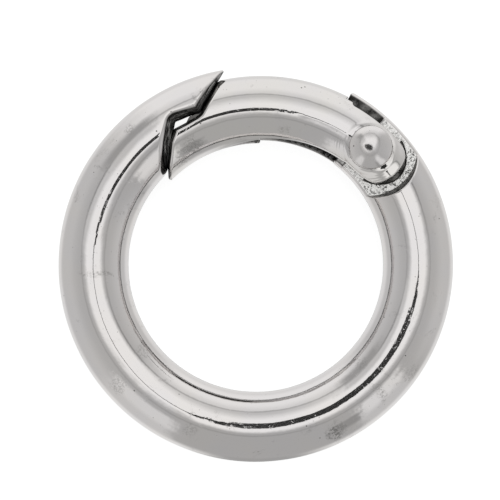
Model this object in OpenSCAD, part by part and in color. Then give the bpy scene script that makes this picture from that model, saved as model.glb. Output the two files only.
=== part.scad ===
// Round spring-gate ring clasp: a die-cast ring of round bar with a pivoting,
// spring-closed gate, a scarfed hook latch and a dome-headed hinge rivet.
// The ring lies flat in the XY plane, centred on the origin; +Z is the front.

/* [Ring] */
// Outside diameter of the closed ring
ring_od = 25; // [24.5:0.1:26]
// Diameter of the round bar the ring is cast from
bar_d = 4.45; // [4.3:0.05:4.5]
// Direction of the hinge, seen from the front
hinge_angle = 45.6; // [45:0.2:46]

/* [Gate] */
// Diameter of the gate's bar, a little slimmer than the ring's
gate_d = 4.28; // [4.2:0.02:4.3]
// How far the closed gate sits turned inwards about the rivet
gate_sag = 2.45; // [2.3:0.05:2.5]
// Half the width of the slot inside the gate
slot_half = 0.85; // [0.83:0.01:0.9]
// Outer wall left over the spring channel
roof_wall = 1.15; // [1:0.05:1.3]
// Reach of the rounded hinge end past the rivet
cap_reach = 2.33; // [2.2:0.01:2.4]
// Direction of the slot's closed end
slot_end_angle = 88; // [87:0.5:88.5]
// Direction of the wall that the stop finger meets
stop_angle = 61.1; // [61.1:0.1:61.8]

/* [Tongue] */
// Half thickness of the hinge tongue
tongue_half = 0.8; // [0.76:0.01:0.8]
// Half thickness of the nose and the stop finger
finger_half = 0.65; // [0.6:0.01:0.7]
// Radius of the round pocket beside the tongue
pocket_r = 3.05; // [3:0.01:3.1]
// Direction at which the tongue steps down in thickness
step_angle = 49; // [48.8:0.1:49.4]
// Direction of the face that the spring bears on
nose_angle = 53; // [52.8:0.1:53.2]
// Direction of the end of the stop finger
finger_angle = 60.7; // [60.3:0.1:60.8]
// Radial thickness of the stop finger
finger_wall = 1.3; // [1.2:0.05:1.4]

/* [Rivet] */
// Diameter of the rivet's shank
shank_d = 1.6; // [1.5:0.02:1.64]
// Diameter of the rivet's domed heads
head_d = 2.8; // [2.7:0.02:2.84]
// Height of the top of each head above the middle plane
head_top = 2.68; // [2.6:0.02:2.8]
// Height of the flat seat under each head
head_seat = 1.24; // [1.2:0.02:1.26]

/* [Spring] */
// Diameter of the spring's wire
wire_d = 0.24; // [0.2:0.01:0.26]
// Outside diameter of the spring's coils
coil_d = 1.46; // [1.3:0.02:1.5]
// Number of turns
turns = 11; // [9:1:12]

/* [Hidden] */

$fn = 96;
metal = [0.80, 0.80, 0.79];
bright = [0.86, 0.86, 0.85];
steel = [0.30, 0.30, 0.31];

bar_r = bar_d / 2;                    // radius of the ring's bar
gate_r = gate_d / 2;                  // radius of the gate's bar
mid_r = ring_od / 2 - bar_r;          // radius of the bar's centreline
gate_mid = mid_r - 0.165;             // radius of the gate's centreline
far = ring_od;                        // reach of the cutting shapes
tall = bar_d * 2;                     // height of the cutting shapes
pin = pol(mid_r, hinge_angle);        // rivet axis
gate_c = pin - turned(pin, gate_sag); // centre of the gate's arc

// Point at radius r and direction a
function pol(r, a) = [r * cos(a), r * sin(a)];
// Point p turned by angle a about the origin
function turned(p, a) = [p[0] * cos(a) - p[1] * sin(a), p[0] * sin(a) + p[1] * cos(a)];
// Point s bar radii outside the centreline (inside it if negative), direction a
function at(s, a) = pol(mid_r + s * bar_r, a);

// Edge of the ring's latch end at the middle plane, from the beak's tip inwards:
// the long scarf, the heel, the seat over the hook, and the face beside the nose
beak = [at(1.6, 94), at(1.06, 98.4), at(0.02, 109.75), at(-0.03, 110.5), at(0.08, 117.3),
        at(0.09, 119.4), at(0.05, 120.5), at(-0.07, 121.4), at(-0.2, 122.9), at(-0.39, 125.35),
        at(-0.83, 131.75), at(-1.1, 136), at(-2, 141)];
// Edge of the gate's latch end at the middle plane, from outside inwards
hook = [at(1.6, 93), at(1.05, 97.8), at(-0.02, 109.2), at(-0.1, 110.3), at(-0.02, 114.2),
        at(-0.15, 116.3), at(-0.16, 120.6), at(-0.2, 121.95), at(-0.25, 122.5), at(-0.4, 124.9),
        at(-0.87, 131), at(-1.15, 134.6), at(-1.6, 135.6)];
// The part of the gate's hook that is cut back above and below the middle web
web = [at(0.07, 107.6), at(0.3, 111), at(0.2, 115.5), at(-0.12, 116.35), at(-0.17, 112.3), at(-0.12, 110.4)];

module torus(mid, r) {
    rotate_extrude() translate([mid, 0]) circle(r = r);
}

// Flat wedge between two directions, from near the centre to outside the ring
module wedge(a, b, from = 0) {
    polygon([pol(from, a), pol(far, a), pol(far * 1.2, (a + b) / 2), pol(far, b), pol(from, b)]);
}

module ring_body() {
    color(metal) difference() {
        torus(mid_r, bar_r);
        // latch end, right through the bar
        linear_extrude(height = tall, center = true)
            polygon(concat(beak, [[0, 0], pol(far, 78), pol(far, 90)]));
        // room for the gate's two cheeks, in front of and behind the tongue
        for (s = [-1, 1]) translate([0, 0, s * (tongue_half + tall / 2)]) {
            linear_extrude(height = tall, center = true) wedge(hinge_angle, 80, 4);
            translate([pin[0], pin[1], 0]) cylinder(r = pocket_r, h = tall, center = true);
        }
        // middle layer beyond the nose and the stop finger
        linear_extrude(height = tongue_half * 2 + 1, center = true)
            polygon([pol(4, nose_angle), pol(ring_od / 2 - finger_wall, nose_angle),
                     pol(ring_od / 2 - finger_wall, finger_angle), pol(far, finger_angle),
                     pol(far, 80), pol(4, 80)]);
        // thinner nose and finger
        for (s = [-1, 1]) translate([0, 0, s * (finger_half + 1)])
            linear_extrude(height = 2, center = true) wedge(step_angle, 79, 4.5);
        // running bore for the rivet
        translate([pin[0], pin[1], 0]) cylinder(d = shank_d + 0.1, h = tall, center = true);
    }
}

module gate() {
    color(metal) difference() {
        intersection() {
            translate([gate_c[0], gate_c[1], 0]) torus(gate_mid, gate_r);
            linear_extrude(height = tall, center = true) union() {
                polygon(concat(hook, [pol(4, 100), pol(4, hinge_angle), pol(far * 0.8, hinge_angle),
                                      pol(far * 0.8, 70)]));
                translate(pin) circle(r = cap_reach);
            }
        }
        // hook cut back above and below its web
        for (s = [-1, 1]) translate([0, 0, s * (0.9 + tall / 2)])
            linear_extrude(height = tall, center = true) polygon(web);
        // spring channel, open towards the eye
        intersection() {
            translate([gate_c[0], gate_c[1], 0])
                cylinder(r = gate_mid + gate_r - roof_wall, h = slot_half * 2, center = true);
            linear_extrude(height = tall, center = true) wedge(20, slot_end_angle, 3);
        }
        // slot through to the outside for the tongue and the stop finger
        linear_extrude(height = slot_half * 2, center = true) wedge(15, stop_angle, 4);
        // front lip of the channel, eased back towards the hinge
        translate([1.06, 0.35, 0]) cylinder(r = mid_r - 2.71, h = tall, $fn = 96);
        // rivet hole and the flat seats under its heads
        translate([pin[0], pin[1], 0]) {
            cylinder(d = shank_d + 0.02, h = tall, center = true);
            for (s = [-1, 1]) translate([0, 0, s * (head_seat + tall / 2)])
                cylinder(d = head_d + 0.08, h = tall, center = true);
        }
    }
}

// Outline of the domed head: straight rim, rounded shoulder, flattened crown
function head_profile(n) = let (r = head_d / 2, rim = head_seat + 0.5, rise = head_top - rim)
    [for (i = [0:n]) let (t = 90 * i / n) [r * pow(cos(t), 0.72), rim + rise * pow(sin(t), 0.8)]];

module hinge_rivet() {
    color(bright) translate([pin[0], pin[1], 0]) union() {
        cylinder(d = shank_d, h = head_seat * 2 + 0.4, center = true);
        for (s = [0, 1]) mirror([0, 0, s])
            rotate_extrude() polygon(concat([[0, head_seat], [head_d / 2, head_seat]],
                [for (p = head_profile(9)) if (p[0] > 0.02) p], [[0, head_top]]));
    }
}

// Coil spring along the channel's arc, from the tongue's nose to the slot's end
coil_r = (coil_d - wire_d) / 2;
spring_mid = gate_mid - 1.1;
spring_a = 57.2;
spring_b = 88.6;
steps = 14;
// Turns wound tight at both ends, open between
function wind(t) = t < 0.1 ? t * 0.55 : t > 0.9 ? 1 - (1 - t) * 0.55 : 0.055 + (t - 0.1) * 0.89 / 0.8;
function coil_pt(t, q) =
    let (a = spring_a + (spring_b - spring_a) * wind(t), w = 360 * turns * t,
         rr = coil_r + wire_d / 2 * cos(q), dz = wire_d / 2 * sin(q) * 180 / (PI * spring_mid),
         rad = spring_mid + rr * cos(w))
    [gate_c[0] + rad * cos(a + dz), gate_c[1] + rad * sin(a + dz), rr * sin(w)];

module gate_spring() {
    n = turns * steps;
    k = 6;
    pts = [for (i = [0:n], j = [0:k - 1]) coil_pt(i / n, 360 * j / k)];
    color(steel) polyhedron(points = pts, faces = concat(
        [[for (j = [0:k - 1]) j]],
        [for (i = [0:n - 1], j = [0:k - 1]) [i * k + j, (i + 1) * k + j, (i + 1) * k + (j + 1) % k]],
        [for (i = [0:n - 1], j = [0:k - 1]) [i * k + j, (i + 1) * k + (j + 1) % k, i * k + (j + 1) % k]],
        [[for (j = [k - 1:-1:0]) n * k + j]]));
}

ring_body();
gate();
hinge_rivet();
gate_spring();
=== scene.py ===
import math
import bpy
import numpy as np
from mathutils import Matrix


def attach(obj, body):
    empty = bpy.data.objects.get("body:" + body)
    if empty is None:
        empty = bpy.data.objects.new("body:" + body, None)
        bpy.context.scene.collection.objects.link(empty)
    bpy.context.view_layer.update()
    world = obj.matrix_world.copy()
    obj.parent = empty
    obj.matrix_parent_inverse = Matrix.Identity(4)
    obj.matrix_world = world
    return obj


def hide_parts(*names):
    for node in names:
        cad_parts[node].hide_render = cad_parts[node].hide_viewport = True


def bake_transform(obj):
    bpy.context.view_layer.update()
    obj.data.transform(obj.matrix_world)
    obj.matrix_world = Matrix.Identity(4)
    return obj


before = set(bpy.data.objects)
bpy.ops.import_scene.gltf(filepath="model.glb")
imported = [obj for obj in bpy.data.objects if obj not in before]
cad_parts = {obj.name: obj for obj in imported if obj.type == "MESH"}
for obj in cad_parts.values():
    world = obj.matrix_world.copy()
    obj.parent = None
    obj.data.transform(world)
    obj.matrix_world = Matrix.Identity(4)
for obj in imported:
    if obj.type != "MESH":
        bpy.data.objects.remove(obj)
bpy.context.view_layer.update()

# ------------------------------------------------------------------ sizes, mm
BAR_R = 2.225                      # ring bar
MID_R = 12.5 - BAR_R               # its centreline
GATE_R = 2.14                      # gate bar
GATE_MID = MID_R - 0.165
HINGE = 45.6


def pol(r, a):
    return np.array([r * math.cos(math.radians(a)), r * math.sin(math.radians(a))])


def at(s, a):
    return pol(MID_R + s * BAR_R, a)


def turned(p, a):
    c, s = math.cos(math.radians(a)), math.sin(math.radians(a))
    return np.array([p[0] * c - p[1] * s, p[0] * s + p[1] * c])


PIN = pol(MID_R, HINGE)
GATE_C = PIN - turned(PIN, 2.45)
SHANK_R, HEAD_R, HEAD_TOP, SEAT = 0.8, 1.4, 2.68, 1.24
TONGUE, FINGER, SLOT = 0.8, 0.65, 0.85

# ------------------------------------------------------- distance-field tools


def meet(a, b, r):
    """Both solids' overlap, with the edge between them rounded to radius r."""
    u, v = np.maximum(a + r, 0), np.maximum(b + r, 0)
    return np.minimum(-r, np.maximum(a, b)) + np.sqrt(u * u + v * v)


def join(a, b, r):
    """Both solids together, with the inside corner between them filled to radius r."""
    u, v = np.maximum(r - a, 0), np.maximum(r - b, 0)
    return np.maximum(r, np.minimum(a, b)) - np.sqrt(u * u + v * v)


def rounded(points, radii, steps=7):
    """A closed outline with each corner turned into an arc of the radius given for it."""
    n, out = len(points), []
    for i in range(n):
        p, a, b = points[i], points[i - 1], points[(i + 1) % n]
        r = radii[i]
        if r <= 0:
            out.append(p)
            continue
        u, v = (a - p) / np.linalg.norm(a - p), (b - p) / np.linalg.norm(b - p)
        half = math.acos(max(-1, min(1, float(u @ v)))) / 2
        if half > 1.55:
            out.append(p)
            continue
        t = min(r / math.tan(half), 0.48 * np.linalg.norm(a - p), 0.48 * np.linalg.norm(b - p))
        r = t * math.tan(half)
        c = p + (u + v) / np.linalg.norm(u + v) * (r / math.sin(half))
        s, e = p + u * t - c, p + v * t - c
        for k in range(steps + 1):
            w = k / steps
            d = s * (1 - w) + e * w
            out.append(c + d / np.linalg.norm(d) * r)
    return np.array(out)


def outline(x, y, pts):
    """Signed distance to a closed outline, negative inside."""
    d2 = np.full(np.broadcast(x, y).shape, 1e9)
    inside = np.zeros(d2.shape, bool)
    for i in range(len(pts)):
        a, b = pts[i - 1], pts[i]
        e = b - a
        wx, wy = x - a[0], y - a[1]
        t = np.clip((wx * e[0] + wy * e[1]) / max(float(e @ e), 1e-12), 0, 1)
        d2 = np.minimum(d2, (wx - t * e[0]) ** 2 + (wy - t * e[1]) ** 2)
        cross = (a[1] <= y) != (b[1] <= y)
        with np.errstate(divide="ignore", invalid="ignore"):
            xs = a[0] + (y - a[1]) / (e[1] if abs(e[1]) > 1e-12 else 1e-12) * e[0]
        inside ^= cross & (x < xs)
    return np.where(inside, -1, 1) * np.sqrt(d2)


def past(x, y, a):
    """Distance past the ray from the centre in direction a, anticlockwise."""
    a = math.radians(a)
    return -x * math.sin(a) + y * math.cos(a)


def ripple(theta, psi, seed, size):
    """Shallow unevenness left by casting and tumbling, as a few seeded waves round and along the bar."""
    rng = np.random.RandomState(seed)
    out = 0.0
    for _ in range(26):
        m = rng.randint(3, 34)
        k = rng.randint(-4, 5)
        out = out + rng.uniform(0.4, 1.0) / (3 + m + 2 * abs(k)) * np.cos(m * theta + k * psi + rng.uniform(0, 6.283))
    return size * out


def net(field, theta, rho, zz, centre):
    """The field's zero surface as quads, on a grid that follows the bar round the ring."""
    th = np.radians(theta)
    x = centre[0] + rho[None, :, None] * np.cos(th)[:, None, None]
    y = centre[1] + rho[None, :, None] * np.sin(th)[:, None, None]
    f = field(x, y, zz[None, None, :])
    s = f < 0
    count = np.zeros(tuple(n - 1 for n in f.shape), np.int8)
    corners = [(i, j, k) for i in (0, 1) for j in (0, 1) for k in (0, 1)]
    for i, j, k in corners:
        count += s[i:f.shape[0] - 1 + i, j:f.shape[1] - 1 + j, k:f.shape[2] - 1 + k]
    active = (count > 0) & (count < 8)
    cell = np.argwhere(active)
    index = np.full(active.shape, -1, np.int64)
    index[active] = np.arange(len(cell))
    acc, num = np.zeros((len(cell), 3)), np.zeros(len(cell))
    for a in corners:
        for ax in range(3):
            if a[ax]:
                continue
            b = list(a)
            b[ax] = 1
            fa = f[cell[:, 0] + a[0], cell[:, 1] + a[1], cell[:, 2] + a[2]]
            fb = f[cell[:, 0] + b[0], cell[:, 1] + b[1], cell[:, 2] + b[2]]
            m = (fa < 0) != (fb < 0)
            t = np.where(m, fa / np.where(m, fa - fb, 1), 0)
            p = np.tile(np.array(a, float), (len(cell), 1))
            p[:, ax] += t
            acc[m] += p[m]
            num[m] += 1
    g = cell + acc / num[:, None]

    def value(axis, i):
        j = np.clip(np.floor(i).astype(int), 0, len(axis) - 2)
        return axis[j] + (i - j) * (axis[j + 1] - axis[j])

    t, r, z = value(th, g[:, 0]), value(rho, g[:, 1]), value(zz, g[:, 2])
    verts = np.stack([centre[0] + r * np.cos(t), centre[1] + r * np.sin(t), z], 1)
    faces = []
    for ax in range(3):
        lo = [slice(None)] * 3
        hi = [slice(None)] * 3
        lo[ax], hi[ax] = slice(0, -1), slice(1, None)
        s0, s1 = s[tuple(lo)], s[tuple(hi)]
        e = np.argwhere(s0 != s1)
        o1, o2 = [(1, 2), (2, 0), (0, 1)][ax]
        ok = (e[:, o1] > 0) & (e[:, o2] > 0) & (e[:, o1] < f.shape[o1] - 1) & (e[:, o2] < f.shape[o2] - 1)
        e = e[ok]
        flip = s0[e[:, 0], e[:, 1], e[:, 2]]
        quad = []
        for d1, d2 in ((0, 0), (1, 0), (1, 1), (0, 1)):
            q = e.copy()
            q[:, o1] -= d1
            q[:, o2] -= d2
            quad.append(index[q[:, 0], q[:, 1], q[:, 2]])
        quad = np.stack(quad, 1)
        quad[flip] = quad[flip][:, ::-1]
        faces.append(quad)
    return verts, np.concatenate(faces)


def slope(field, v, h=0.004):
    g = np.empty_like(v)
    for ax in range(3):
        a, b = v.copy(), v.copy()
        a[:, ax] -= h
        b[:, ax] += h
        g[:, ax] = (field(b[:, 0], b[:, 1], b[:, 2]) - field(a[:, 0], a[:, 1], a[:, 2])) / (2 * h)
    return g


def settle(field, v, rounds):
    for _ in range(rounds):
        d = field(v[:, 0], v[:, 1], v[:, 2])
        g = slope(field, v)
        n2 = np.maximum((g * g).sum(1), 0.05)
        step = -(d / n2)[:, None] * g
        size = np.linalg.norm(step, axis=1, keepdims=True)
        v = v + step * np.minimum(1, 0.06 / np.maximum(size, 1e-9))
    return v


def relax(field, v, faces, rounds):
    """Evens out the quads along the surface, then puts the points back on it."""
    for _ in range(rounds):
        total, n = np.zeros_like(v), np.zeros(len(v))
        for a, b in ((0, 1), (1, 2), (2, 3), (3, 0)):
            for p, q in ((a, b), (b, a)):
                for ax in range(3):
                    total[:, ax] += np.bincount(faces[:, p], v[faces[:, q], ax], len(v))
                n += np.bincount(faces[:, p], minlength=len(v))
        move = total / np.maximum(n, 1)[:, None] - v
        g = slope(field, v)
        g /= np.maximum(np.linalg.norm(g, axis=1, keepdims=True), 1e-9)
        move -= (move * g).sum(1, keepdims=True) * g
        v = settle(field, v + 0.5 * move, 1)
    return v


def build(name, verts, faces, normals=None):
    """A mesh object from points in mm."""
    me = bpy.data.meshes.new(name)
    me.vertices.add(len(verts))
    me.vertices.foreach_set("co", (np.asarray(verts) * 0.001).astype(np.float32).ravel())
    faces = np.asarray(faces)
    k = faces.shape[1]
    me.loops.add(faces.size)
    me.loops.foreach_set("vertex_index", faces.astype(np.int32).ravel())
    me.polygons.add(len(faces))
    me.polygons.foreach_set("loop_start", np.arange(0, faces.size, k, dtype=np.int32))
    me.update(calc_edges=True)
    me.validate()
    me.polygons.foreach_set("use_smooth", np.ones(len(me.polygons), bool))
    if normals is not None and len(me.vertices) == len(verts):
        me.normals_split_custom_set_from_vertices([tuple(n) for n in normals])
    ob = bpy.data.objects.new(name, me)
    bpy.context.scene.collection.objects.link(ob)
    return ob


def cast(name, field, theta, rho, zz, centre):
    v, q = net(field, theta, rho, zz, centre)
    v = settle(field, v, 3)
    v = relax(field, v, q, 3)
    v = settle(field, v, 2)
    n = slope(field, v, 0.006)
    n /= np.maximum(np.linalg.norm(n, axis=1, keepdims=True), 1e-9)
    a, b, c = v[q[:, 0]], v[q[:, 1]], v[q[:, 2]]
    if (np.cross(b - a, c - a) * n[q[:, 0]]).sum() < 0:
        q = q[:, ::-1]
    return build(name, v, q, n)


def graded(a, b, zones, fine, coarse):
    """Directions from a to b in degrees, close together inside the zones and wider apart elsewhere."""
    out, t = [a], a
    while t < b:
        d = min(max(z0 - t, t - z1, 0) for z0, z1 in zones)
        t += fine + (coarse - fine) * min(1, d / 14)
        out.append(t)
    return np.array(out)


# ---------------------------------------------------------------- latch edges
beak = [at(1.6, 94), at(1.06, 98.4), at(-0.03, 110.3), at(0.09, 119.6), at(-0.39, 125.35),
        at(-0.83, 131.75), at(-1.1, 136), at(-2, 141)]
BEAK = rounded(np.array(beak + [np.zeros(2), pol(25, 78), pol(25, 90)]),
               [0, 0, 0.12, 0.26, 0, 0, 0, 0, 0, 0, 0])
hook = [at(1.6, 93), at(1.05, 97.8), at(-0.1, 110.15), at(-0.15, 112), at(-0.16, 120.9), at(-0.4, 124.9),
        at(-0.87, 131), at(-1.15, 134.6), at(-1.6, 135.6)]
HOOK = rounded(np.array(hook + [pol(4, 100), pol(4, 20), pol(25, 20), pol(25, 70)]),
               [0, 0, 0.2, 0.3, 0.14, 0, 0, 0.1, 0, 0, 0, 0, 0])
web = [at(0.1, 107), at(-0.03, 110.4), at(-0.02, 114.2), at(-0.15, 116.3), at(-0.6, 115.6), at(-0.6, 106)]
WEB = rounded(np.array(web), [0, 0.06, 0.08, 0, 0, 0])
NOSE = rounded(np.array([pol(4, 53), pol(11.2, 53), pol(11.2, 60.9), pol(20, 60.9), pol(20, 85), pol(4, 85)]),
               [0, 0.35, 0.22, 0, 0, 0])


def dome():
    """Radius and height of a rivet head: near enough a ball's cap, with a short steep rim."""
    r = np.linspace(0, 1.378, 420)
    tilt = np.minimum(0.48 * r + 0.05 * r ** 3 + 2.2 * (np.maximum(r - 1.315, 0) / 0.06) ** 2, math.radians(84))
    drop = np.concatenate([[0], np.cumsum((np.tan(tilt[1:]) + np.tan(tilt[:-1])) / 2 * np.diff(r))])
    return r, HEAD_TOP - 0.005 - drop


DOME = dome()


def window(th, a, b, soft):
    """1 between directions a and b (degrees), fading to 0 over soft degrees outside."""
    t = np.degrees(th) % 360
    u = np.clip(np.minimum(t - a, b - t) / soft + 1, 0, 1)
    return u * u * (3 - 2 * u)


def ring_field(x, y, z):
    th, az = np.arctan2(y, x), np.abs(z)
    # the crown of the bar sits a hair inside its centreline, and hand polishing left it flatter or sharper in places
    rho = np.sqrt(x * x + y * y) + 0.03 * (z / BAR_R) ** 2
    d = np.sqrt((rho - MID_R) ** 2 + z * z)
    w = rho - MID_R
    f = d - BAR_R + 0.012 - ripple(th, np.arctan2(z, w), 4, 0.02)
    f = f + 0.011 * window(th, 262, 342, 9) * np.exp(-(w / 0.42) ** 2)
    f = f - 0.016 * window(th, 128, 168, 6) * np.exp(-((w + 0.12) / 0.36) ** 2)
    crest = 1 - np.maximum(window(th, 252, 350, 9), window(th, 95, 167, 7))
    f = f - 0.012 * crest * np.exp(-((w + 0.03) / 0.16) ** 2)
    # latch end, with draft away from the middle plane and an edge that rolls over more away from the tip
    low = window(th, 119, 150, 6)
    f = meet(f, -outline(x, y, BEAK) + (0.15 + 0.05 * low) * az - 0.10 * low, 0.15 + 0.17 * window(th, 108, 150, 8))
    # pocket in front of and behind the tongue
    t = (x - PIN[0]) * -math.sin(math.radians(HINGE)) + (y - PIN[1]) * math.cos(math.radians(HINGE))
    dp = np.sqrt((x - PIN[0]) ** 2 + (y - PIN[1]) ** 2)
    span = np.maximum(past(x, y, 88), 0)
    pocket = np.maximum(np.minimum(-t, dp - 3.0), span) - 0.17 * np.maximum(az - TONGUE, 0)
    f = meet(f, -np.maximum(TONGUE - az, pocket), 0.10)
    # crevice round the gate's boss
    across = (x - PIN[0]) * math.cos(math.radians(HINGE)) + (y - PIN[1]) * math.sin(math.radians(HINGE))
    crevice = np.maximum((np.sqrt((across / 1.92) ** 2 + (t / 2.59) ** 2) - 1) * 2.3, t + 1.1)
    f = meet(f, -np.maximum(TONGUE - 0.24 - az, crevice), 0.06)
    # thinner nose and finger
    thin = np.maximum(-past(x, y, 49), past(x, y, 88))
    f = meet(f, -np.maximum(FINGER - az, thin), 0.19)
    f = meet(f, -outline(x, y, NOSE) + 0.04 * az, 0.18)
    # bore
    return meet(f, SHANK_R + 0.05 - dp, 0.05)


def gate_field(x, y, z):
    az = np.abs(z)
    gx, gy = x - GATE_C[0], y - GATE_C[1]
    rho = np.sqrt(gx * gx + gy * gy)
    w = rho - GATE_MID
    d = np.sqrt(w ** 2 + z * z)
    th = np.arctan2(gy, gx)
    f = d - GATE_R + 0.012 - ripple(th, np.arctan2(z, w), 9, 0.018)
    f = f - 0.012 * window(th, 78, 110, 8) * np.exp(-(w / 0.28) ** 2)
    f = f - 0.020 * window(th, 50, 74, 4) * np.exp(-((w + 0.03) / 0.16) ** 2)
    t = (x - PIN[0]) * -math.sin(math.radians(HINGE)) + (y - PIN[1]) * math.cos(math.radians(HINGE))
    dp = np.sqrt((x - PIN[0]) ** 2 + (y - PIN[1]) ** 2)
    # metal raised round the rivet's head when it was set
    f = f - 0.026 * np.exp(-((dp - 1.58) / 0.13) ** 2)
    # hinge end, rounded about the rivet and run into the eased front lip
    end = np.minimum(-t, dp - 2.33)
    lip = (MID_R - 2.71) - np.sqrt((x - 1.06) ** 2 + (y - 0.35) ** 2)
    rim = w - 1.80 - 0.5 * (1 - window(th, 0, 60.3, 1.9))
    f = meet(f, meet(end, rim, 0.6), 0.16)
    f = meet(f, np.where(z > 0, meet(end, lip, 0.75), np.maximum(lip - 9, -9)), 0.11)
    # hook end with its draft, and the middle web in its notch
    f = meet(f, outline(x, y, HOOK) + 0.12 * az - 0.11 - 0.035 * window(th, 90, 113, 5), 0.15)
    f = np.minimum(f, meet(d - GATE_R + 0.1, np.maximum(outline(x, y, WEB), az - 0.85), 0.08))
    # spring channel and through slot
    chan = np.maximum(rho - (GATE_MID + GATE_R - 1.15), past(x, y, 88))
    cut = np.maximum(az - SLOT, np.minimum(chan, past(x, y, 61.1)))
    f = meet(f, -cut, 0.09)
    # rivet hole, and the metal closed up against its heads
    head = np.interp(az, DOME[1][::-1], DOME[0][::-1])
    f = meet(f, -np.maximum(SEAT - az, dp - head + 0.035), 0.05)
    return np.maximum(f, SHANK_R + 0.01 - dp)


H = 0.078
zz = np.arange(-33, 34) * 0.072
rr = np.arange(-33, 34) * 0.072
ring = cast("ring_casting", ring_field,
            graded(95, 425, [(95, 140), (384, 425)], math.degrees(H / 10.3), 1.9),
            MID_R + rr, zz, np.zeros(2))
gate = cast("gate_casting", gate_field,
            graded(30, 139, [(30, 95), (106, 139)], math.degrees(H / 10.1), 1.0),
            GATE_MID + rr * 0.98, zz * 0.98, GATE_C)

# --------------------------------------------------------------------- rivet


def head_profile():
    """Half outline of one head, from its seat up over the crown, with its short straight rim."""
    r, z = DOME
    keep = [0]
    for i in range(1, len(r)):                  # even steps along the curve
        j = keep[-1]
        if math.hypot(r[i] - r[j], z[i] - z[j]) > 0.045 or i == len(r) - 1:
            keep.append(i)
    pts = [(SHANK_R, SEAT + 0.005), (1.30, SEAT + 0.005), (1.35, SEAT + 0.02)]
    for i in range(6):
        pts.append((r[-1] + 0.012, SEAT + 0.05 + (z[-1] - 0.03 - SEAT - 0.05) * i / 5))
    pts += [(float(r[i]), float(z[i])) for i in reversed(keep[1:])]
    return pts


def make_rivet():
    prof = head_profile()
    n = 160
    ring_pts = [(a, -b) for a, b in reversed(prof)] + [(a, b) for a, b in prof]
    rng = np.random.RandomState(3)
    waves = [(m, rng.uniform(0.3, 1.0) * 0.003, rng.uniform(0, 6.28)) for m in (2, 3, 5, 7)]
    # the crown sits a hair off the shank's axis, and is a little longer than wide
    off, tall = (-0.107, 0.099), 0.09
    verts = [(PIN[0] + off[0], PIN[1] + off[1], -(HEAD_TOP - 0.005))]
    for a, b in ring_pts:
        for j in range(n):
            w = 2 * math.pi * j / n
            # the peened heads are very slightly out of round
            k = 1 - 0.004 + sum(h * math.cos(m * w + ph + b * 0.4) for m, h, ph in waves) * (a / HEAD_R) * (a > SHANK_R + 0.01)
            top = max(0, 1 - (a / HEAD_R) ** 2) if abs(b) > SEAT + 0.3 else 0
            verts.append((PIN[0] + a * k * math.cos(w) * (1 - tall * top) + off[0] * top,
                          PIN[1] + a * k * math.sin(w) * (1 + tall * top) + off[1] * top, b))
    verts.append((PIN[0] + off[0], PIN[1] + off[1], HEAD_TOP - 0.005))
    faces, m = [], len(ring_pts)
    for j in range(n):
        faces.append((0, 1 + (j + 1) % n, 1 + j, 1 + j))
        last = 1 + (m - 1) * n
        faces.append((last + j, last + (j + 1) % n, len(verts) - 1, len(verts) - 1))
    for i in range(m - 1):
        for j in range(n):
            a, b = 1 + i * n + j, 1 + i * n + (j + 1) % n
            faces.append((a, b, b + n, a + n))
    me = bpy.data.meshes.new("rivet")
    me.from_pydata([tuple(c * 0.001 for c in p) for p in verts], [],
                   [f if f[2] != f[3] else f[:3] for f in faces])
    me.validate()
    me.polygons.foreach_set("use_smooth", np.ones(len(me.polygons), bool))
    ob = bpy.data.objects.new("rivet", me)
    bpy.context.scene.collection.objects.link(ob)
    return ob


rivet = make_rivet()

# -------------------------------------------------------------------- spring
WIRE, COIL, TURNS = 0.24, 1.46, 11
SPRING_MID = GATE_MID - 1.1


def make_spring():
    steps, k = 40, 14
    n = TURNS * steps
    t = np.arange(n + 1) / n
    wound = np.where(t < 0.1, t * 0.55, np.where(t > 0.9, 1 - (1 - t) * 0.55, 0.055 + (t - 0.1) * 0.89 / 0.8))
    a = np.radians(57.2 + (88.6 - 57.2) * wound)
    w = 2 * math.pi * TURNS * t
    cr = (COIL - WIRE) / 2
    rad = SPRING_MID + cr * np.cos(w)
    path = np.stack([GATE_C[0] + rad * np.cos(a), GATE_C[1] + rad * np.sin(a), cr * np.sin(w)], 1)
    tan = np.gradient(path, axis=0)
    tan /= np.linalg.norm(tan, axis=1, keepdims=True)
    mid = np.stack([GATE_C[0] + SPRING_MID * np.cos(a), GATE_C[1] + SPRING_MID * np.sin(a), 0 * a], 1)
    out = path - mid
    out -= (out * tan).sum(1, keepdims=True) * tan
    out /= np.linalg.norm(out, axis=1, keepdims=True)
    side = np.cross(tan, out)
    verts, faces = [], []
    for i in range(n + 1):
        end = min(i, n - i)
        r = WIRE / 2 * (1 if end > 2 else (0.86, 0.95, 0.99)[end])
        for j in range(k):
            q = 2 * math.pi * j / k
            verts.append(path[i] + r * (math.cos(q) * out[i] + math.sin(q) * side[i]))
    for i in range(n):
        for j in range(k):
            faces.append((i * k + j, i * k + (j + 1) % k, (i + 1) * k + (j + 1) % k, (i + 1) * k + j))
    me = bpy.data.meshes.new("coil_spring")
    me.from_pydata([tuple(p * 0.001) for p in verts], [],
                   faces + [tuple(range(k - 1, -1, -1)), tuple(n * k + j for j in range(k))])
    me.validate()
    me.polygons.foreach_set("use_smooth", np.ones(len(me.polygons), bool))
    ob = bpy.data.objects.new("coil_spring", me)
    bpy.context.scene.collection.objects.link(ob)
    return ob


spring = make_spring()

# ----------------------------------------------------------------- materials


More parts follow.
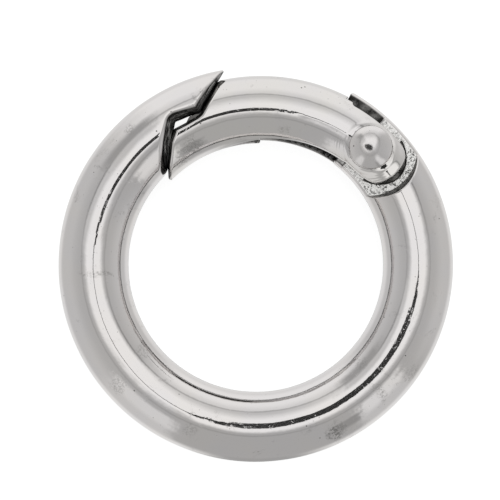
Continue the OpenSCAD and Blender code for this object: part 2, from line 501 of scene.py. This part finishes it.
class Nodes:
    """Small helper for writing node trees."""

    def __init__(self, tree):
        self.t = tree

    def new(self, kind, **props):
        n = self.t.nodes.new(kind)
        for k, v in props.items():
            setattr(n, k, v)
        return n

    def put(self, sock, v):
        if isinstance(v, bpy.types.NodeSocket):
            self.t.links.new(v, sock)
        elif v is not None:
            sock.default_value = v

    def math(self, op, a, b=None, c=None, clamp=False):
        n = self.new("ShaderNodeMath", operation=op, use_clamp=clamp)
        for i, v in enumerate((a, b, c)):
            self.put(n.inputs[i], v) if v is not None else None
        return n.outputs[0]

    def vec(self, op, a, b=None):
        n = self.new("ShaderNodeVectorMath", operation=op)
        self.put(n.inputs[0], a)
        if b is not None:
            self.put(n.inputs[1], b)
        return n

    def step(self, v, lo, hi, a=0.0, b=1.0):
        n = self.new("ShaderNodeMapRange", interpolation_type="SMOOTHSTEP")
        self.put(n.inputs["Value"], v)
        n.inputs["From Min"].default_value, n.inputs["From Max"].default_value = lo, hi
        n.inputs["To Min"].default_value, n.inputs["To Max"].default_value = a, b
        return n.outputs[0]

    def mix(self, f, a, b):
        n = self.new("ShaderNodeMix", data_type="RGBA")
        self.put(n.inputs[0], f)
        self.put(n.inputs[6], a)
        self.put(n.inputs[7], b)
        return n.outputs[2]

    def noise(self, vec, scale, detail=2.0, rough=0.5, dist=0.0):
        n = self.new("ShaderNodeTexNoise")
        self.put(n.inputs["Vector"], vec)
        n.inputs["Scale"].default_value = scale
        n.inputs["Detail"].default_value = detail
        n.inputs["Roughness"].default_value = rough
        n.inputs["Distortion"].default_value = dist
        return n.outputs["Fac"]

    def voronoi(self, vec, scale, feature="F1"):
        n = self.new("ShaderNodeTexVoronoi", feature=feature)
        self.put(n.inputs["Vector"], vec)
        n.inputs["Scale"].default_value = scale
        return n


def both(first, *rest):
    """Several 0 to 1 masks multiplied together."""
    for m in rest:
        n = first.node.id_data.nodes.new("ShaderNodeMath")
        n.operation = "MULTIPLY"
        n.id_data.links.new(first, n.inputs[0])
        n.id_data.links.new(m, n.inputs[1])
        first = n.outputs[0]
    return first


def start(name):
    m = bpy.data.materials.new(name)
    m.use_nodes = True
    t = m.node_tree
    for n in list(t.nodes):
        t.nodes.remove(n)
    k = Nodes(t)
    out = k.new("ShaderNodeOutputMaterial")
    b = k.new("ShaderNodeBsdfPrincipled")
    t.links.new(b.outputs[0], out.inputs[0])
    co = k.new("ShaderNodeTexCoord").outputs["Object"]
    mm = k.vec("SCALE", co)
    mm.inputs["Scale"].default_value = 1000.0
    return m, k, b, mm.outputs[0]


def nickel(name, tint, base_rough, seed=0.0, centre=(0.0, 0.0), mid=MID_R, bar=BAR_R, zone=None, stains=()):
    """Bright nickel plate over a tumbled zinc casting: mirror-like, with faint waviness, sparse pits, hairlines and
    dull smudges, and painted shade, a near-black colour, inside the cut-outs.
    """
    m, k, b, mm = start(name)
    b.inputs["Metallic"].default_value = 1.0
    p = k.vec("ADD", mm, (seed, seed * 0.7, seed * 1.3)).outputs[0]
    # slow tint shifts
    tone = k.noise(p, 0.35, 2.0)
    col = k.mix(k.step(tone, 0.35, 0.65), tint[0] + (1,), tint[1] + (1,))
    # dull smudges left by handling and uneven plating
    sm = k.noise(p, 0.55, 4.0, 0.6, 0.6)
    fine = k.noise(p, 7.0, 3.0, 0.7)
    smear = k.math("MULTIPLY", k.step(sm, 0.60, 0.74), k.step(fine, 0.35, 0.7))
    for x, y, z, r, power in stains:
        near = k.vec("DISTANCE", mm, (x, y, z)).outputs["Value"]
        edge = k.math("ADD", near, k.math("MULTIPLY", k.math("SUBTRACT", k.noise(p, 1.4, 3.0, 0.65), 0.5), 1.6 * r))
        spot = k.math("MULTIPLY", k.step(edge, 0.35 * r, r, power, 0.0), k.step(fine, 0.42, 0.60))
        smear = k.math("MAXIMUM", smear, spot)
    # sparse pits
    vor = k.voronoi(p, 1.5)
    few = k.step(k.noise(p, 1.1, 1.0), 0.54, 0.60)
    pit = k.math("MULTIPLY", k.step(vor.outputs["Distance"], 0.05, 0.085, 1.0, 0.0), few)
    vor2 = k.voronoi(p, 3.6)
    few2 = k.step(k.noise(p, 0.8, 2.0), 0.57, 0.64)
    speck = k.math("MULTIPLY", k.step(vor2.outputs["Distance"], 0.07, 0.13, 1.0, 0.0), few2)
    # short hairlines, each set turned its own way
    lines = None
    for ang, sc, off in ((0.5, (17.0, 1.7, 1.7), 3.0), (-0.9, (19.0, 1.5, 1.5), 11.0), (1.9, (15.0, 1.6, 1.6), 23.0)):
        mp = k.new("ShaderNodeMapping")
        k.put(mp.inputs["Vector"], p)
        mp.inputs["Rotation"].default_value = (0.3 * ang, 0.2, ang)
        mp.inputs["Location"].default_value = (off, off, off)
        ln = k.step(k.noise(k.vec("MULTIPLY", mp.outputs[0], sc).outputs[0], 1.0, 0.0, 0.4), 0.75, 0.80)
        ln = k.math("MULTIPLY", ln, k.step(k.noise(p, 0.45 + 0.01 * off, 1.0), 0.52, 0.62))
        lines = ln if lines is None else k.math("MAXIMUM", lines, ln)
    dark = k.math("MAXIMUM", pit, k.math("MULTIPLY", speck, 0.5))
    col = k.mix(k.math("MULTIPLY", dark, 0.85), col, (0.06, 0.06, 0.055, 1))
    col = k.mix(k.math("MINIMUM", k.math("MULTIPLY", smear, 0.62), 0.85), col, (0.27, 0.265, 0.255, 1))
    rough = k.math("ADD", base_rough, k.math("MULTIPLY", smear, 0.24))
    rough = k.math("ADD", rough, k.math("MULTIPLY", lines, 0.08))
    rough = k.math("ADD", rough, k.math("MULTIPLY", k.noise(p, 2.5, 3.0), 0.03))
    # height: waviness, orange peel, pits and hairlines, in mm
    h = k.math("MULTIPLY", k.noise(p, 1.1, 2.0, 0.5), 0.0078)
    h = k.math("ADD", h, k.math("MULTIPLY", k.noise(p, 4.6, 1.0, 0.5), 0.0010))
    h = k.math("SUBTRACT", h, k.math("MULTIPLY", dark, 0.012))
    h = k.math("SUBTRACT", h, k.math("MULTIPLY", lines, 0.0008))
    # how far a point lies under the skin of the bar: past that, it is inside a cut-out
    flat = k.vec("SUBTRACT", mm, (centre[0], centre[1], 0.0)).outputs[0]
    sep = k.new("ShaderNodeSeparateXYZ")
    k.put(sep.inputs[0], flat)
    gx, gy, gz = sep.outputs
    rad = k.math("SQRT", k.math("ADD", k.math("MULTIPLY", gx, gx), k.math("MULTIPLY", gy, gy)))
    off = k.math("SUBTRACT", rad, mid)
    depth = k.math("SUBTRACT", bar, k.math("SQRT", k.math("ADD", k.math("MULTIPLY", off, off), k.math("MULTIPLY", gz, gz))))
    angle = k.math("MULTIPLY", k.math("ARCTAN2", gy, gx), 180 / math.pi)
    up = k.math("ABSOLUTE", gz)
    inside = k.step(depth, 0.06, 0.17)
    shade_roughness = k.math("ADD", 0.55, k.math("MULTIPLY", k.noise(p, 3.5, 4.0, 0.7), 0.8))
    grit = k.noise(mm, 8.0, 3.0, 0.7)
    pin = k.vec("DISTANCE", k.vec("MULTIPLY", mm, (1.0, 1.0, 0.0)).outputs[0], (float(PIN[0]), float(PIN[1]), 0.0)).outputs["Value"]
    if zone == "ring":
        # the top of the tongue and its floor in the pocket get a near-white colour, a painted highlight, and more
        # roughness; the floor is left as cast
        top = k.math("MULTIPLY", k.step(up, 0.71, 0.76), k.step(up, 0.83, 0.90, 1.0, 0.0))
        top = k.math("MULTIPLY", k.math("MULTIPLY", top, k.step(k.math("ADD", angle, k.math("MULTIPLY", k.noise(mm, 3.0, 2.0), 3.0)), 49.3, 51.6, 1.0, 0.0)), k.step(pin, 3.3, 3.6, 1.0, 0.0))
        nose = k.math("MULTIPLY", k.math("MULTIPLY", k.step(up, 0.56, 0.62), k.step(rad, 8.3, 8.42)), k.step(rad, 9.3, 9.6, 1.0, 0.0))
        nose = k.math("MULTIPLY", k.math("MULTIPLY", nose, k.step(up, 0.83, 0.90, 1.0, 0.0)), k.step(pin, 3.3, 3.6, 1.0, 0.0))
        top = k.math("MAXIMUM", top, k.math("MULTIPLY", nose, 0.75))
        # painted shade: the metal inside the ring's cut-outs, except the pocket floor and nose, is marked for a
        # near-black colour where shade falls
        black = k.math("MULTIPLY", inside, k.math("SUBTRACT", 1.0, top))
        side = k.vec("DOT_PRODUCT", k.vec("SUBTRACT", mm, (float(PIN[0]), float(PIN[1]), 0.0)).outputs[0],
                     (math.sin(math.radians(HINGE)), -math.cos(math.radians(HINGE)), 0.0)).outputs["Value"]
        rough_cast = k.math("MULTIPLY", k.math("MULTIPLY", top, inside), k.step(side, 0.9, 1.7, 0.45, 1.0))
        bright = k.math("MULTIPLY", top, inside)
        # painted highlight: near-white colour on the pocket floor and the tongue's nose
        col = k.mix(bright, col, (0.97, 0.965, 0.95, 1))
        rough = k.math("ADD", rough, k.math("MULTIPLY", bright, 0.30))
        chips = k.math("MULTIPLY", k.step(k.noise(mm, 6.0, 3.0, 0.8, 0.5), 0.545, 0.600), rough_cast)
        col = k.mix(k.math("MULTIPLY", chips, 0.9), col, (0.09, 0.09, 0.085, 1))
        h = k.math("ADD", h, k.math("MULTIPLY", k.math("MULTIPLY", k.noise(mm, 3.4, 2.0, 0.5), rough_cast), 0.022))
        h = k.math("SUBTRACT", h, k.math("MULTIPLY", chips, 0.02))
    elif zone == "gate":
        # painted shade: inside the slot, along the front lip and in the hook end, the metal is marked for a near-black
        # colour where shade falls
        slot = k.math("MAXIMUM", k.step(up, 0.86, 0.93, 1.0, 0.0), k.step(angle, 103.0, 105.0))
        lip = both(k.step(depth, 0.012, 0.05), k.step(up, 0.84, 0.88, 1.0, 0.0), k.step(angle, 82.0, 84.6, 1.0, 0.0))
        black = k.math("MAXIMUM", k.math("MULTIPLY", inside, slot), lip)
        # fine rings burnished into the plate by the riveting tool
        ends = k.math("MULTIPLY", k.step(pin, 1.45, 1.60), k.step(pin, 2.05, 2.40, 1.0, 0.0))
        side = k.vec("DOT_PRODUCT", k.vec("SUBTRACT", mm, (float(PIN[0]), float(PIN[1]), 0.0)).outputs[0], (-0.62, -0.78, 0.0)).outputs["Value"]
        phase = k.math("MULTIPLY", k.math("ADD", pin, k.math("MULTIPLY", k.noise(mm, 1.6, 2.0), 0.16)), 2 * math.pi / 0.17)
        rings = k.math("MULTIPLY", k.math("MULTIPLY", k.math("SINE", phase), 0.0015), k.math("MULTIPLY", ends, k.step(side, 0.3, 1.2, 0.10, 1.0)))
        h = k.math("ADD", h, rings)
    else:
        # dirt held in the seam round each head
        black = k.math("MULTIPLY", k.step(pin, 1.338, 1.366), k.step(k.noise(mm, 0.9, 3.0, 0.6), 0.40, 0.56, 0.25, 1.0))
    if black is not None:
        # the dark colour: on the ring and gate it is painted shade inside the cut-outs, near black with some mottling;
        # on the rivet it is the dark seam round the head
        shade = k.mix(k.step(k.noise(p, 1.3, 3.0, 0.6), 0.38, 0.66), (0.026, 0.025, 0.024, 1), (0.200, 0.195, 0.188, 1))
        if zone == "ring":
            # on the drafted wall of the latch end, the painted shade is broken by lighter streaks drawn out along it,
            # which are painted reflections, and the metal there is made mostly non-metallic
            along = k.vec("DOT_PRODUCT", mm, (-0.61, -0.79, 0.0)).outputs["Value"]
            cross = k.vec("DOT_PRODUCT", mm, (0.79, -0.61, 0.0)).outputs["Value"]
            grain = k.new("ShaderNodeCombineXYZ")
            for i, v in enumerate((k.math("MULTIPLY", along, 0.9), k.math("MULTIPLY", cross, 2.4), k.math("MULTIPLY", gz, 2.6))):
                k.put(grain.inputs[i], v)
            wall = both(k.step(angle, 94.0, 96.0), k.step(angle, 150.0, 156.0, 1.0, 0.0), k.step(up, 0.25, 0.45), k.step(depth, 0.14, 0.40))
            streak = k.math("MULTIPLY", k.step(k.noise(grain.outputs[0], 1.0, 3.0, 0.65), 0.44, 0.62), wall)
            shade = k.mix(k.math("MULTIPLY", streak, 0.9), shade, (0.80, 0.79, 0.77, 1))
            k.put(b.inputs["Metallic"], k.math("SUBTRACT", 1.0, k.math("MULTIPLY", wall, 0.92)))
        col = k.mix(black, col, shade)
        # lighter flecks in the painted shade and the seam
        col = k.mix(k.math("MULTIPLY", k.math("MULTIPLY", black, k.step(grit, 0.54, 0.70)), 0.30), col, (0.34, 0.34, 0.33, 1))
        rough = k.math("ADD", rough, k.math("MULTIPLY", k.math("MULTIPLY", black, shade_roughness), 0.36))
        h = k.math("ADD", h, k.math("MULTIPLY", k.math("MULTIPLY", black, grit), 0.012))
    bump = k.new("ShaderNodeBump")
    bump.inputs["Strength"].default_value = 1.0
    bump.inputs["Distance"].default_value = 0.001
    k.put(bump.inputs["Height"], h)
    k.put(b.inputs["Base Color"], col)
    k.put(b.inputs["Roughness"], rough)
    k.put(b.inputs["Normal"], bump.outputs[0])
    return m


def spring_steel():
    m, k, b, mm = start("spring_steel")
    b.inputs["Metallic"].default_value = 1.0
    n1 = k.noise(mm, 3.0, 3.0)
    n2 = k.noise(mm, 30.0, 2.0, 0.6)
    # painted shade: the spring is coloured near black, standing in for the shade of the slot it sits in
    k.put(b.inputs["Base Color"], k.mix(k.step(n1, 0.3, 0.7), (0.022, 0.022, 0.023, 1), (0.060, 0.057, 0.054, 1)))
    k.put(b.inputs["Roughness"], k.math("ADD", 0.36, k.math("MULTIPLY", n2, 0.2)))
    bump = k.new("ShaderNodeBump")
    bump.inputs["Strength"].default_value = 1.0
    bump.inputs["Distance"].default_value = 0.001
    k.put(bump.inputs["Height"], k.math("MULTIPLY", n2, 0.002))
    k.put(b.inputs["Normal"], bump.outputs[0])
    return m


WARM, COOL = (0.810, 0.785, 0.772), (0.799, 0.780, 0.781)


def spot(part, azimuth, s, r, power=1.0):
    """A dull patch on a bar's front at a direction and a place across it from -1, inside, to 1, outside."""
    c, mid, bar = ((0, 0), MID_R, BAR_R) if part == "ring" else (GATE_C, GATE_MID, GATE_R)
    q = np.array(c) + pol(mid + s * bar, azimuth)
    return (float(q[0]), float(q[1]), bar * math.sqrt(1 - s * s), r, power)


ring.data.materials.append(nickel("ring_plating", (WARM, COOL), 0.035, zone="ring", stains=(
    spot("ring", 295.5, 0.64, 0.9, 1.5), spot("ring", 133, 0.60, 0.5, 0.7), spot("ring", 221, 0.55, 0.8, 0.6),
    spot("ring", 248, 0.42, 0.6, 0.5), spot("ring", 325, 0.72, 0.8, 0.5), spot("ring", 218, -0.60, 0.7, 0.6),
    spot("ring", 317, -0.55, 0.6, 0.5), spot("ring", 52, -0.6, 0.6, 0.4))))
gate.data.materials.append(nickel("gate_plating", ((0.808, 0.788, 0.768), COOL), 0.035, seed=7.0, centre=(float(GATE_C[0]), float(GATE_C[1])),
                                  mid=GATE_MID, bar=GATE_R, zone="gate", stains=(spot("gate", 119, -0.62, 0.9), spot("gate", 126, -0.75, 0.7, 0.8))))
rivet.data.materials.append(nickel("rivet_plating", (WARM, COOL), 0.14, seed=19.0, zone="rivet"))
spring.data.materials.append(spring_steel())

for ob, body, node, slot in ((ring, "ring", "ring_body", "body_plating"), (gate, "gate", "gate", "gate_plating"),
                             (rivet, "gate", "hinge_rivet", "rivet_plating")):
    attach(ob, body)
    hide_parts(node)
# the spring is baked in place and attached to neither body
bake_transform(spring)
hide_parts("gate_spring")

# --------------------------------------------------------------------- stage
floor_z = -2.70
DIST = 0.190                                  # camera height, m
EYE = ((250 - 255.8) * 0.0633e-3, (264.5 - 250) * 0.0633e-3)


def plate(name, pts, z):
    me = bpy.data.meshes.new(name)
    me.from_pydata([(x, y, z) for x, y in pts], [], [tuple(range(len(pts)))])
    ob = bpy.data.objects.new(name, me)
    bpy.context.scene.collection.objects.link(ob)
    return ob


floor = plate("floor", [(-1.5, -1.5), (1.5, -1.5), (1.5, 1.5), (-1.5, 1.5)], floor_z * 0.001)
fm, _, fb, _ = start("pale_floor")
fb.inputs["Roughness"].default_value = 0.6
fb.inputs["Base Color"].default_value = (0.16, 0.16, 0.16, 1)
fb.inputs["Emission Color"].default_value = (1, 1, 1, 1)
fb.inputs["Emission Strength"].default_value = 0.92
floor.data.materials.append(fm)
floor.visible_glossy = False

# the lens and its hood, which the bright metal mirrors: two lobes, as the tent's slit hides the rest
edge = []
for i in range(180):
    a = i * 2
    lobe = min(abs((a - 123 + 180) % 360 - 180), abs((a - 303 + 180) % 360 - 180))
    u = min(1, max(0, (48 - lobe) / 7))
    edge.append(math.radians(2.1 + 5.1 * u * u * (3 - 2 * u)) * (DIST + 0.004))
hood = plate("lens_hood", [(-EYE[0] + r * math.cos(math.radians(i * 2)), -EYE[1] + r * math.sin(math.radians(i * 2)))
                           for i, r in enumerate(edge)], DIST + 0.006)
hm, _, hb, _ = start("hood_black")
hb.inputs["Base Color"].default_value = (0.015, 0.015, 0.015, 1)
hb.inputs["Roughness"].default_value = 0.8
# and the nearer ring of the lens that the rivet's dome picks up
eye = np.array([EYE[0] * 1000, EYE[1] * 1000, DIST * 1000]) - np.array([PIN[0], PIN[1], HEAD_TOP])
eye /= np.linalg.norm(eye)
at_lens = np.array([PIN[0] - 0.178, PIN[1] + 0.013, HEAD_TOP]) + eye * 4
oval = []
for i in range(72):
    u, v = math.cos(i * math.pi / 36), math.sin(i * math.pi / 36)
    q = 1 + 0.10 * u - 0.07 * math.cos(i * math.pi / 12)
    oval.append(((at_lens[0] + q * (1.50 * u + 0.42 * v)) * 0.001, (at_lens[1] + q * (-0.50 * u + 0.71 * v)) * 0.001))
lens = plate("lens_ring", oval, at_lens[2] * 0.001)
for ob in (hood, lens):
    ob.data.materials.append(hm)
# the shade under the ring, which only the metal across the eye mirrors
shade = plate("floor_shade", [(0.0107 * math.cos(math.radians(i * 3)), 0.0107 * math.sin(math.radians(i * 3))) for i in range(120)],
              (floor_z + 0.01) * 0.001)
sm, k, sb, mm = start("shade_under_ring")
sb.inputs["Base Color"].default_value = (0.02, 0.02, 0.02, 1)
sb.inputs["Roughness"].default_value = 0.9
k.put(sb.inputs["Alpha"], k.step(k.vec("LENGTH", mm).outputs["Value"], 7.9, 8.5, 0.0, 0.94))
shade.data.materials.append(sm)
for ob in (hood, lens, shade):
    ob.visible_camera = ob.visible_shadow = ob.visible_diffuse = False

# studio light: a soft tent round the object, brightest overhead and behind
world = bpy.data.worlds.new("studio")
bpy.context.scene.world = world
world.use_nodes = True
wt = world.node_tree
for n in list(wt.nodes):
    wt.nodes.remove(n)
k = Nodes(wt)
wo = k.new("ShaderNodeOutputWorld")
bg = k.new("ShaderNodeBackground")
wt.links.new(bg.outputs[0], wo.inputs[0])
d = k.vec("NORMALIZE", k.new("ShaderNodeTexCoord").outputs["Generated"]).outputs[0]
# the cloth of the tent is a little creased
crease = k.new("ShaderNodeTexNoise")
k.put(crease.inputs["Vector"], d)
crease.inputs["Scale"].default_value = 3.0
crease.inputs["Detail"].default_value = 4.0
bend = k.vec("SUBTRACT", crease.outputs["Color"], (0.5, 0.5, 0.5)).outputs[0]
bend = k.vec("MULTIPLY", bend, (0.13, 0.13, 0.13)).outputs[0]
d = k.vec("NORMALIZE", k.vec("ADD", d, bend).outputs[0]).outputs[0]
sep = k.new("ShaderNodeSeparateXYZ")
k.put(sep.inputs[0], d)
dx, dy, dz = sep.outputs
polar = k.math("MULTIPLY", k.math("ARCCOSINE", dz), 180 / math.pi)
azim = k.math("MULTIPLY", k.math("ARCTAN2", dy, dx), 180 / math.pi)
flat = k.math("MAXIMUM", k.math("SQRT", k.math("ADD", k.math("MULTIPLY", dx, dx), k.math("MULTIPLY", dy, dy))), 1e-4)
px = k.math("DIVIDE", k.math("MULTIPLY", polar, dx), flat)
py = k.math("DIVIDE", k.math("MULTIPLY", polar, dy), flat)


def turn_from(a):
    """How many degrees a direction is from azimuth a."""
    return k.math("ABSOLUTE", k.math("WRAP", k.math("SUBTRACT", azim, a), 180.0, -180.0))


def from_spot(y):
    """How far a direction is from the one y degrees off the zenith, to the back."""
    q = k.math("SUBTRACT", py, y)
    return k.math("SQRT", k.math("ADD", k.math("MULTIPLY", px, px), k.math("MULTIPLY", q, q)))


def blend_to(cur, mask, value):
    return k.math("ADD", cur, k.math("MULTIPLY", mask, k.math("SUBTRACT", value, cur)))


light = k.step(polar, 42, 90, 0.50, 0.60)                                                   # side walls
light = blend_to(light, k.step(turn_from(285), 32, 62, 1.0, 0.0), 0.455)                    # front wall
light = blend_to(light, k.step(turn_from(90), 30, 58, 1.0, 0.0), k.step(polar, 50, 80, 0.74, 0.93))      # back wall
light = blend_to(light, both(k.step(turn_from(231), 9, 15, 1.0, 0.0), k.step(polar, 37, 50)), k.step(polar, 70, 95, 0.75, 0.65))
light = blend_to(light, both(k.step(turn_from(314), 7, 12, 1.0, 0.0), k.step(polar, 32, 46)), k.step(polar, 66, 95, 0.80, 0.62))
light = blend_to(light, both(k.step(turn_from(299), 3, 7, 1.0, 0.0), k.step(polar, 52, 62), k.step(polar, 78, 92, 1.0, 0.0)), 0.33)
table = blend_to(k.step(turn_from(271), 6, 26, 0.40, 0.84), k.step(turn_from(271), 45, 60), 0.80)                          # table close by
light = blend_to(light, k.step(polar, 117, 139), table)
seam = k.step(k.math("ABSOLUTE", k.math("SUBTRACT", from_spot(12), 40.0)), 0.0, 4.5, 1.0, 0.0)
light = k.math("MULTIPLY", light, k.math("SUBTRACT", 1.0, k.math("MULTIPLY", seam, k.step(turn_from(90), 55, 90, 0.40, 0.17))))
panel = k.math("SUBTRACT", 0.97, k.math("MULTIPLY", k.math("MAXIMUM", k.math("SUBTRACT", py, 22.0), 0.0), 0.0155))
light = blend_to(light, k.step(from_spot(17), 26.0, 38.5, 1.0, 0.0), panel)                 # overhead softbox
light = blend_to(light, both(k.step(turn_from(154), 12, 24, 1.0, 0.0), k.step(polar, 22, 33), k.step(polar, 35, 44, 1.0, 0.0)), 0.64)
light = blend_to(light, both(k.step(turn_from(137), 7, 16, 1.0, 0.0), k.step(polar, 17, 32), k.step(polar, 58, 78, 1.0, 0.0)), k.step(polar, 39, 48, 0.62, 0.38))
lp = k.new("ShaderNodeLightPath")
light = blend_to(light, lp.outputs["Is Camera Ray"], 1.0)
k.put(bg.inputs["Strength"], light)
bg.inputs["Color"].default_value = (1.0, 0.997, 0.99, 1)

sun = bpy.data.lights.new("softbox", "AREA")
sun.shape = "DISK"
sun.size = 0.30
sun.energy = 1.2
lamp = bpy.data.objects.new("softbox", sun)
lamp.location = (0.05, 0.20, 0.45)
lamp.rotation_euler = (math.radians(-24), math.radians(6), 0)
bpy.context.scene.collection.objects.link(lamp)
lamp.visible_glossy = False

# -------------------------------------------------------------------- camera
cam = bpy.data.cameras.new("camera")
cam.sensor_width = 36
cam.lens = 36 * DIST / (500 * 0.0633e-3)
cam.clip_start, cam.clip_end = 0.005, 10
co = bpy.data.objects.new("camera", cam)
co.location = (EYE[0], EYE[1], DIST)
co.rotation_euler = (0, 0, 0)
bpy.context.scene.collection.objects.link(co)
bpy.context.scene.camera = co
bpy.context.scene.view_settings.view_transform = "Standard"
